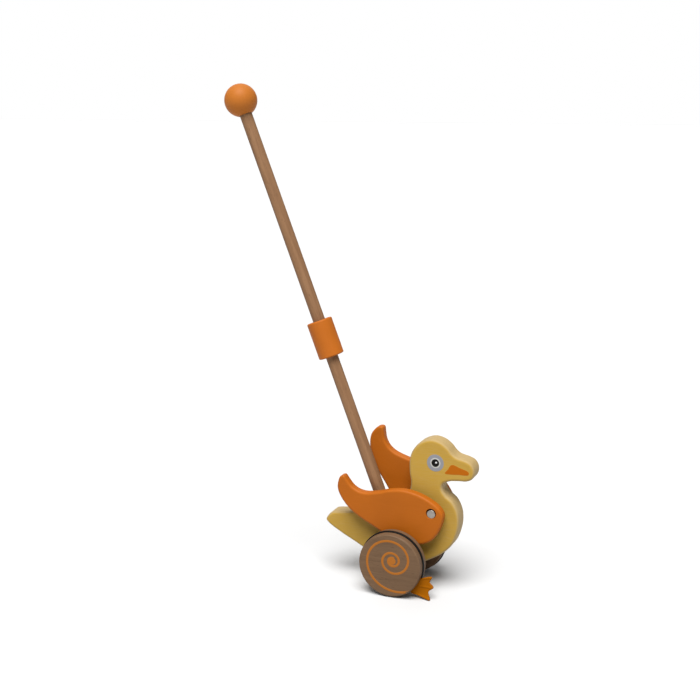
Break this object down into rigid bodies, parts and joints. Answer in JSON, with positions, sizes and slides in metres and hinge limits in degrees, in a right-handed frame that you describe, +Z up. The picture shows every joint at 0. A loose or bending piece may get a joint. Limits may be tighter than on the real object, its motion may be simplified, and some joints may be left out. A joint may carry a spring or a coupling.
{
  "type": "push along duck",
  "caption": "Wooden duck pushed along the floor on a long stick with a ball handle: its wheels turn with webbed feet, and wings on each side swing on screws.",
  "frame": {"origin": "on the floor under the middle of the toy's outer box, with the wheels standing on the floor", "axes": "+X the way the duck faces and rolls, +Y to the duck's left, along the axle, +Z up"},
  "size_m": [0.267, 0.0896, 0.4962],
  "materials": {
    "yellow_paint": "yellow stained and varnished wood, satin",
    "orange_paint": "orange stained and varnished wood, satin",
    "sleeve_paint": "orange stained and varnished wood, satin",
    "ball_paint": "amber stained and varnished wood, satin",
    "beech": "plain beech, sanded",
    "beech_rod": "beech dowel, sanded and waxed",
    "stained_wheel": "brown stained wood, satin",
    "black_rubber": "matt black rubber",
    "foot_rubber": "amber rubber sheet, slightly glossy",
    "screw_steel": "zinc plated steel",
    "pin_steel": "bright steel"
  },
  "bodies": {
    "duck": {"duck_body": "yellow_paint", "lower_rod": "beech_rod", "upper_rod": "beech_rod", "stick_sleeve": "sleeve_paint", "handle_ball": "ball_paint", "right_wing_screw": "screw_steel", "left_wing_screw": "screw_steel", "right_wing_spacer": "beech", "left_wing_spacer": "beech"},
    "wheel_set": {"axle": "beech", "right_wheel": "stained_wheel", "left_wheel": "stained_wheel", "right_tyre_band": "black_rubber", "left_tyre_band": "black_rubber", "right_cam": "beech", "left_cam": "beech", "right_foot": "foot_rubber", "left_foot": "foot_rubber", "right_foot_pin_1": "pin_steel", "right_foot_pin_2": "pin_steel", "left_foot_pin_1": "pin_steel", "left_foot_pin_2": "pin_steel"},
    "right_wing": {"right_wing": "orange_paint"},
    "left_wing": {"left_wing": "orange_paint"}
  },
  "joints": [
    {"name": "axle_spin", "type": "hinge", "parent": "duck", "child": "wheel_set", "pos_m": [0.05925, 0, 0.0331], "axis": [0, 1, 0], "continuous": true},
    {"name": "right_wing_flap", "type": "hinge", "parent": "duck", "child": "right_wing", "pos_m": [0.09485, 0, 0.0845], "axis": [0, 1, 0], "range_deg": [0, 30]},
    {"name": "left_wing_flap", "type": "hinge", "parent": "duck", "child": "left_wing", "pos_m": [0.09485, 0, 0.0845], "axis": [0, 1, 0], "range_deg": [-30, 0]}
  ]
}
